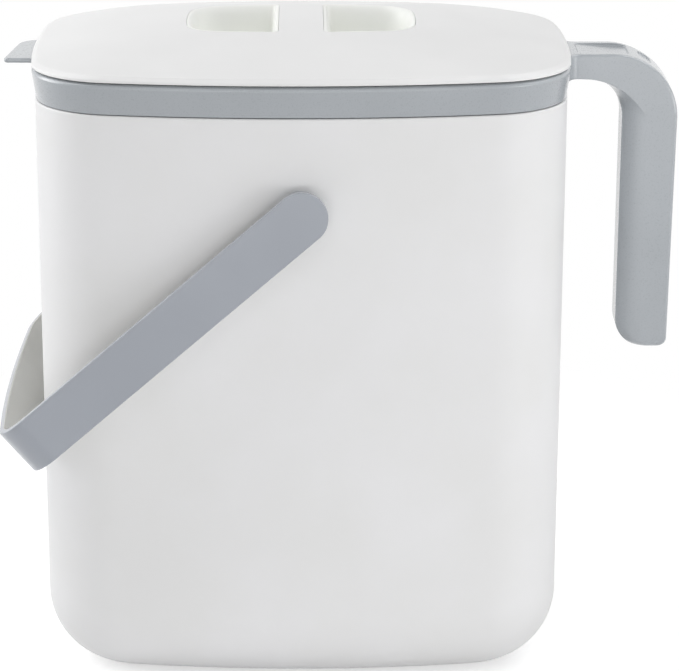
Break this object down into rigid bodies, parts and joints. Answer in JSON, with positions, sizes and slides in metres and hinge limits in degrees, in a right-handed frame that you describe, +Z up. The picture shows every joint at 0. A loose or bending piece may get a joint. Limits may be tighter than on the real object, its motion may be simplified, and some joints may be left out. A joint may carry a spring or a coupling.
{
  "type": "kitchen compost caddy",
  "caption": "White kitchen compost caddy with a lift-off plug lid, a removable inner bucket on a grey rim frame with side grip, and a swinging grey bail.",
  "frame": {"origin": "centre of the bucket's flat underside, on the surface that it stands on", "axes": "+Z up, the front face looks along -Y, the side grip points to +X and the thumb tab to -X"},
  "size_m": [0.2835, 0.17, 0.2738],
  "materials": {
    "white_plastic": "matt",
    "well_plastic": "satin",
    "grey_plastic": "satin",
    "seal_rubber": "matt"
  },
  "bodies": {
    "bucket": {"outer_bucket": "white_plastic", "front_pivot_bush": "grey_plastic", "rear_pivot_bush": "grey_plastic"},
    "bail": {"bail_handle": "grey_plastic", "front_pivot_pin": "grey_plastic", "rear_pivot_pin": "grey_plastic", "front_pivot_retainer": "white_plastic", "rear_pivot_retainer": "white_plastic"},
    "inner": {"inner_bucket": "white_plastic", "rim_frame": "grey_plastic"},
    "lid": {"lid_shell": "white_plastic", "lid_well_cup": "well_plastic", "lid_liner": "white_plastic", "lid_seal": "seal_rubber"}
  },
  "joints": [
    {"name": "bail_swing", "type": "hinge", "parent": "bucket", "child": "bail", "pos_m": [0, 0, 0.2085], "axis": [0, 1, 0], "range_deg": [0, 199]},
    {"name": "inner_lift", "type": "slide", "parent": "bucket", "child": "inner", "axis": [0, 0, 1], "range_m": [0, 0.25]},
    {"name": "lid_lift", "type": "slide", "parent": "inner", "child": "lid", "axis": [0, 0, 1], "range_m": [0, 0.06]}
  ]
}
